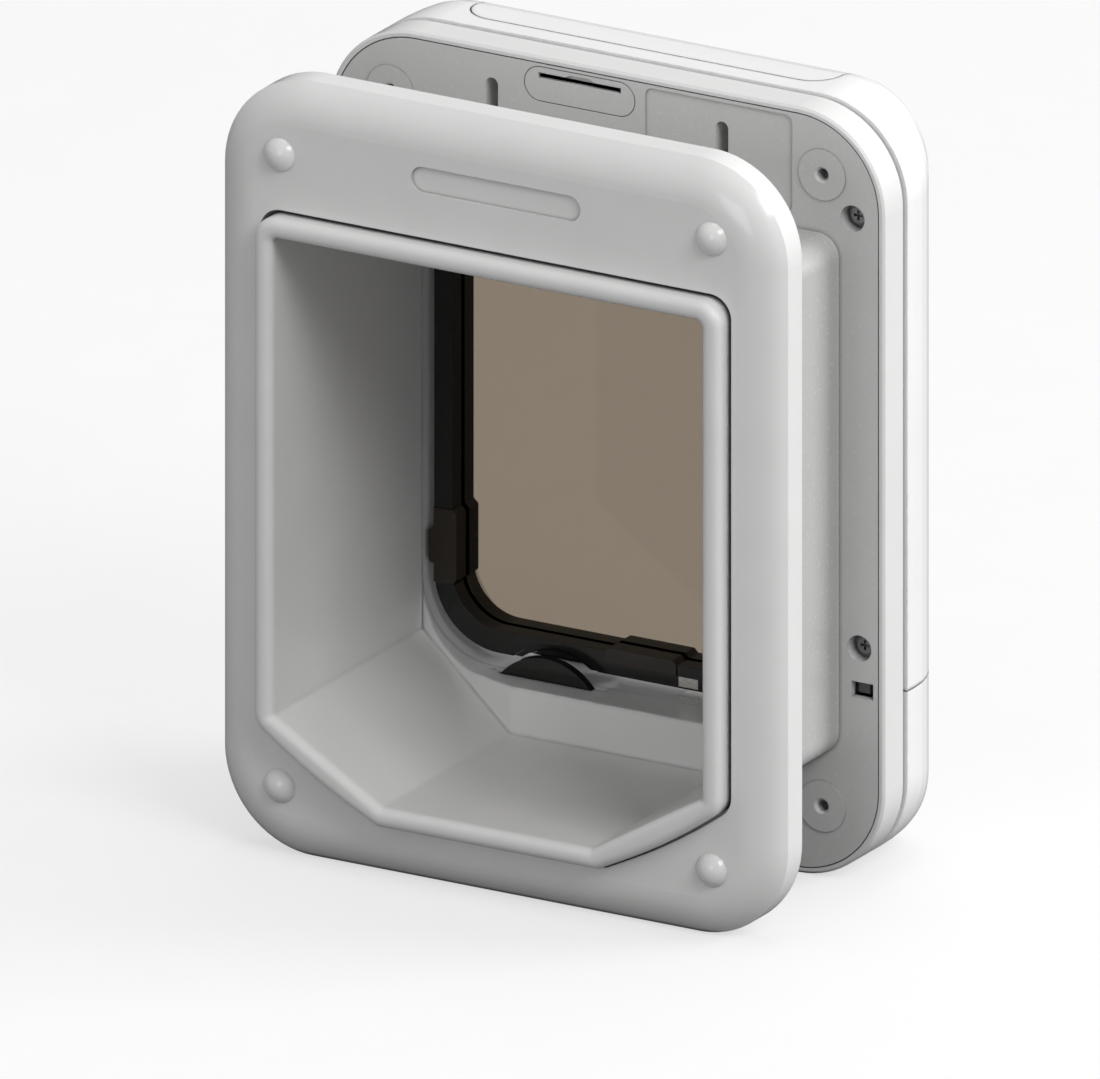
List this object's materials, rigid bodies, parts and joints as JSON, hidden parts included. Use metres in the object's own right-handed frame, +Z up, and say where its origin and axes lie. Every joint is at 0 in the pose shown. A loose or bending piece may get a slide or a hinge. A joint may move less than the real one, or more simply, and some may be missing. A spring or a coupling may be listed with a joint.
{
  "type": "cat flap",
  "caption": "Electronic cat flap for a door: moulded tunnel casing, sliding outer frame, smoked two-way flap with rotary lock and latch.",
  "frame": {"origin": "centre of the four fixing holes, on the face of the casing that lies against the door", "axes": "-Y points out of the casing's door face towards the outside, +Z is up along the tall side, +X is to the right seen from outside"},
  "size_m": [0.236, 0.1561, 0.298],
  "materials": {
    "casing_plastic": "satin moulded plastic, pale grey-white",
    "cover_plastic": "satin moulded plastic, white",
    "bright_steel": "nickel-plated steel",
    "zinc_steel": "zinc-plated steel",
    "spring_steel": "drawn spring wire",
    "black_plastic": "gloss black moulded plastic",
    "dark_plastic": "matt black moulded plastic",
    "dial_plastic": "satin grey moulded plastic",
    "smoked_panel": "smoked transparent plastic",
    "smoked_clip": "dark smoked plastic",
    "board": "green circuit board",
    "copper": "enamelled copper winding",
    "cell_jacket": "plain dark cell jacket",
    "lens": "clear red moulded lens"
  },
  "bodies": {
    "casing": {"door_plate": "casing_plastic", "access_cover": "casing_plastic", "casing_ring": "casing_plastic", "tunnel_liner": "casing_plastic", "interior_cover": "cover_plastic", "lower_cover": "cover_plastic", "flap_surround": "casing_plastic", "sill_keeper": "bright_steel", "latch_solenoid": "zinc_steel", "circuit_board": "board", "sounder": "black_plastic", "antenna_coil": "copper", "battery_tray": "dark_plastic", "battery_cells": "cell_jacket", "battery_contacts": "spring_steel", "status_lens": "lens", "switch_board": "board", "casing_screws": "zinc_steel"},
    "outer_frame": {"exterior_frame": "casing_plastic"},
    "flap": {"flap_border": "black_plastic", "flap_panel": "smoked_panel", "flap_clip_left": "smoked_clip", "flap_clip_right": "smoked_clip", "flap_foot": "smoked_clip", "flap_magnet": "bright_steel"},
    "lock": {"lock_front_disc": "black_plastic", "lock_rear_disc": "black_plastic", "lock_shaft": "black_plastic", "lock_knob": "dial_plastic"},
    "latch": {"latch_bolt": "bright_steel"},
    "lid": {"battery_lid": "cover_plastic"},
    "button": {"program_button": "dial_plastic"}
  },
  "joints": [
    {"name": "frame_slide", "type": "slide", "parent": "casing", "child": "outer_frame", "axis": [0, 1, 0], "range_m": [0, 0.05]},
    {"name": "flap_swing", "type": "hinge", "parent": "casing", "child": "flap", "pos_m": [0, 0.0328, 0.078], "axis": [1, 0, 0], "range_deg": [-85, 85]},
    {"name": "lock_turn", "type": "hinge", "parent": "casing", "child": "lock", "pos_m": [-0.0356, 0.033, -0.1168], "axis": [0, 1, 0], "range_deg": [0, 270]},
    {"name": "latch_lift", "type": "slide", "parent": "casing", "child": "latch", "axis": [0, 0, 1], "range_m": [0, 0.009]},
    {"name": "lid_lift", "type": "slide", "parent": "casing", "child": "lid", "axis": [0, 0, 1], "range_m": [0, 0.045]},
    {"name": "button_press", "type": "slide", "parent": "casing", "child": "button", "axis": [0, -1, 0], "range_m": [0, 0.0012], "stiffness_N_per_m": 400}
  ]
}
